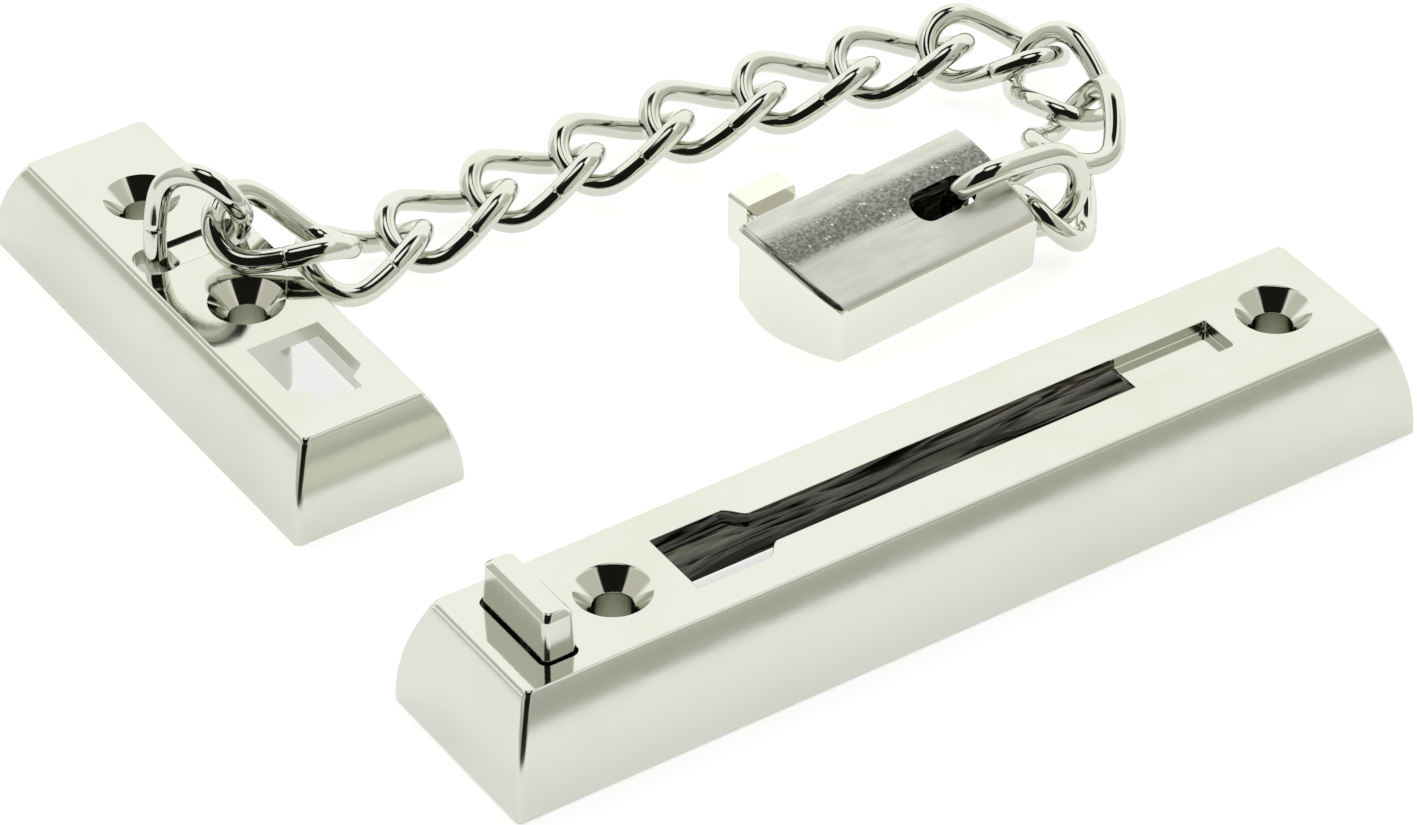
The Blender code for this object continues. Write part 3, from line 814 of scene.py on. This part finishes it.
def build_sky():
    """A soft bright tent with a dark gap overhead and a greyer horizon on the camera's side."""
    world = bpy.data.worlds.new("soft tent")
    world.use_nodes = True
    bpy.context.scene.world = world
    n = Nodes(world.node_tree)
    direction = n.coordinates("Generated")
    forward, sideways, up = (
        n.add("ShaderNodeVectorMath", {0: direction, 1: axis}, operation="DOT_PRODUCT").outputs["Value"]
        for axis in (*view_directions(), (0.0, 0.0, 1.0))
    )
    near = n.ramp(forward, *NEAR_SIDE)
    half_width = n.math("ADD", GAP_HALF[0], n.math("MULTIPLY", near, GAP_HALF[1] - GAP_HALF[0]))
    beside = n.math("SUBTRACT", half_width, n.math("ABSOLUTE", sideways))
    reach = n.math("DIVIDE", forward, n.math("MAXIMUM", up, 0.001))
    far_end = n.ramp(reach, GAP_FAR + GAP_FAR_SOFT, GAP_FAR - GAP_FAR_SOFT)
    gap = n.math("MULTIPLY", n.ramp(beside, -GAP_SOFT, GAP_SOFT), n.math("MAXIMUM", near, far_end))
    gap = n.math("MULTIPLY", gap, n.ramp(up, *OVERHEAD_LAMP))
    lit = n.math("MAXIMUM", n.ramp(forward, *BACK_BOX), n.ramp(up, *TOP_BOX))
    low = n.math("MULTIPLY", n.ramp(up, *HORIZON_RISE), n.ramp(forward, *HORIZON_SIDE))
    sky = n.mix(low, n.mix(lit, WALLS, SKY), HORIZON)
    seen_directly = n.add("ShaderNodeLightPath").outputs["Is Camera Ray"]
    background = world.node_tree.nodes["Background"].inputs
    n.feed(background["Color"], n.mix(seen_directly, n.mix(gap, sky, DARK), BACKDROP))
    background["Strength"].default_value = 1.0


def build_camera():
    data = bpy.data.cameras.new("camera")
    data.lens = CAMERA_LENS
    data.clip_end = CAMERA_REACH
    camera = bpy.data.objects.new("camera", data)
    camera.location = RAIL_PLACE + Vector(CAMERA_PLACE) * MM
    camera.rotation_euler = (radians(90.0 - CAMERA_DROP), 0.0, radians(CAMERA_HEADING))
    bpy.context.scene.collection.objects.link(camera)
    bpy.context.scene.camera = camera


def dress(piece, node, slot, *materials):
    """The piece takes the CAD node's place and moves with its body."""
    for material in materials:
        piece.data.materials.append(material)
    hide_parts(node)
    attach(piece, node)


plate = polished("polished nickel plate", 0.05, 0.05, 0.05, side=0.09)
wire = polished("nickel plated wire", 0.06, 0.06, 0.10)
# Painted shade for the hollows, track walls and seam of the rail and the slider.
inside = painted_shade_casting("painted shade inside")
dress(build_rail(), "guide_rail", "nickel_plate", plate, inside)
dress(build_anchor(), "anchor_plate", "nickel_plate", plate)
for number, lay in enumerate(CHAIN_LAY, 1):
    dress(build_link(number, lay), f"chain_link_{number:02d}", "nickel_wire", wire)
dress(build_slider(), "slider", "nickel_plate", rough_cast("cast nickel plate"), inside)
build_floor()
build_sky()
build_camera()
bpy.context.scene.view_settings.view_transform = "Standard"
